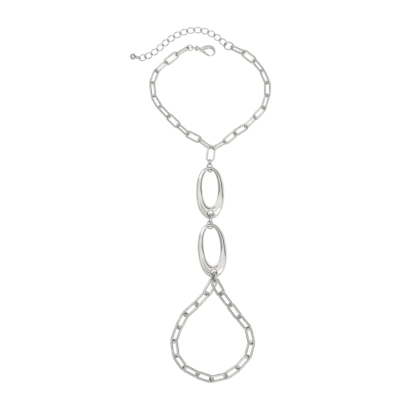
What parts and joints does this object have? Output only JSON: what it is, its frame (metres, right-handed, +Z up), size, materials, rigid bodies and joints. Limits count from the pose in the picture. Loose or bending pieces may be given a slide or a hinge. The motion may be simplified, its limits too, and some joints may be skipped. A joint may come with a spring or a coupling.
{
  "type": "hand chain bracelet",
  "caption": "Hand chain: a wrist chain with a clasp and extender, two slim pierced ovals down the hand, and a loop of larger links for a finger.",
  "frame": {"origin": "on the surface it lies on, under the middle of the whole piece as laid out", "axes": "+Y runs from the finger loop to the extender, +Z up from the surface, +X to the right as the piece is seen from above"},
  "size_m": [0.0706, 0.178, 0.0058],
  "materials": {
    "chain_metal": "bright polished silver-tone wire",
    "oval_casting": "polished silver-tone casting with slightly softened edges",
    "clasp_metal": "polished silver-tone casting and steel pin"
  },
  "bodies": {
    "bracelet": {"left_wrist_link_1": "chain_metal", "left_wrist_link_2": "chain_metal", "left_wrist_link_3": "chain_metal", "left_wrist_link_4": "chain_metal", "left_wrist_link_5": "chain_metal", "left_wrist_link_6": "chain_metal", "left_wrist_link_7": "chain_metal", "left_wrist_link_8": "chain_metal", "left_wrist_link_9": "chain_metal", "left_wrist_link_10": "chain_metal", "left_wrist_link_11": "chain_metal", "right_wrist_link_1": "chain_metal", "right_wrist_link_2": "chain_metal", "right_wrist_link_3": "chain_metal", "right_wrist_link_4": "chain_metal", "right_wrist_link_5": "chain_metal", "right_wrist_link_6": "chain_metal", "right_wrist_link_7": "chain_metal", "right_wrist_link_8": "chain_metal", "right_wrist_link_9": "chain_metal", "right_wrist_link_10": "chain_metal", "right_wrist_link_11": "chain_metal", "left_hand_link_1": "chain_metal", "left_hand_link_2": "chain_metal", "left_hand_link_3": "chain_metal", "left_hand_link_4": "chain_metal", "left_hand_link_5": "chain_metal", "left_hand_link_6": "chain_metal", "left_hand_link_7": "chain_metal", "left_hand_link_8": "chain_metal", "left_hand_link_9": "chain_metal", "right_hand_link_1": "chain_metal", "right_hand_link_2": "chain_metal", "right_hand_link_3": "chain_metal", "right_hand_link_4": "chain_metal", "right_hand_link_5": "chain_metal", "right_hand_link_6": "chain_metal", "right_hand_link_7": "chain_metal", "right_hand_link_8": "chain_metal", "right_hand_link_9": "chain_metal", "drop_link": "chain_metal", "drop_ring": "chain_metal", "upper_ring": "chain_metal", "upper_oval": "oval_casting", "middle_ring": "chain_metal", "lower_ring": "chain_metal", "lower_oval": "oval_casting", "hand_ring": "chain_metal", "extender_ring": "chain_metal", "extender_chain": "chain_metal", "end_ring": "chain_metal", "ball_drop": "oval_casting", "clasp_ring_1": "chain_metal", "clasp_ring_2": "chain_metal", "clasp_body": "clasp_metal", "clasp_pin": "clasp_metal"},
    "lever": {"clasp_lever": "clasp_metal"}
  },
  "joints": [
    {"name": "clasp_lever_hinge", "type": "hinge", "parent": "bracelet", "child": "lever", "pos_m": [0.00116, 0.0769, 0.0011], "axis": [0, 0, 1], "range_deg": [0, 20], "stiffness_Nm_per_rad": 0.004, "springref_deg": -20.05}
  ]
}
